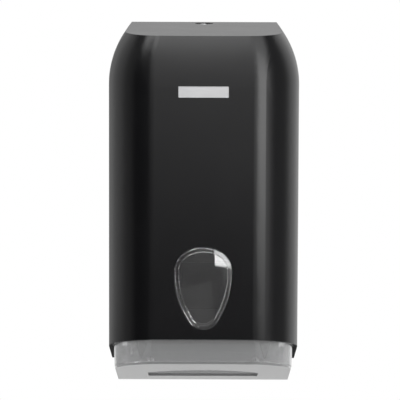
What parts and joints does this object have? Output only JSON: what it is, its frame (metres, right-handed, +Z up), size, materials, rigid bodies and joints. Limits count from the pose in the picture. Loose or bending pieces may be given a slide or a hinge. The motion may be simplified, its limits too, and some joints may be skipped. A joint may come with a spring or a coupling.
{
  "type": "folded toilet paper dispenser",
  "caption": "Wall dispenser for folded toilet tissue: hinged cover with domed shoulders and an egg window, key lock, and a smoked tray with an outlet slot.",
  "frame": {"origin": "centre of the four wall screws, on the wall plane", "axes": "+Z up, +Y into the wall, +X to the right of someone facing the dispenser"},
  "size_m": [0.156, 0.1484, 0.3074],
  "materials": {
    "cover_plastic": "satin black",
    "lens_plastic": "clear, polished",
    "pin_steel": "drawn",
    "lock_metal": "plated",
    "screw_steel": "zinc plated",
    "cam_steel": "zinc plated",
    "plate_plastic": "fine grain, dark grey",
    "guide_plastic": "fine grain, dark grey",
    "tray_plastic": "smoked, translucent, polished"
  },
  "bodies": {
    "wall_unit": {"back_plate": "plate_plastic", "bottom_tray": "tray_plastic", "paper_guide_left": "guide_plastic", "paper_guide_right": "guide_plastic", "lock_keeper": "cam_steel", "keeper_screws": "screw_steel", "guide_screws": "screw_steel", "tray_screws": "screw_steel"},
    "cover": {"front_cover": "cover_plastic", "window_lens": "lens_plastic", "hinge_pin_left": "pin_steel", "hinge_pin_right": "pin_steel", "lock_housing": "lock_metal", "lock_screws": "screw_steel"},
    "lock": {"lock_barrel": "lock_metal", "lock_cam": "cam_steel", "cam_washer": "cam_steel", "cam_screw": "screw_steel"}
  },
  "joints": [
    {"name": "cover_hinge", "type": "hinge", "parent": "wall_unit", "child": "cover", "pos_m": [0, -0.007, -0.137], "axis": [1, 0, 0], "range_deg": [0, 95]},
    {"name": "lock_turn", "type": "hinge", "parent": "cover", "child": "lock", "pos_m": [0, -0.017, 0.135], "axis": [0, 0, 1], "range_deg": [0, 90]}
  ]
}
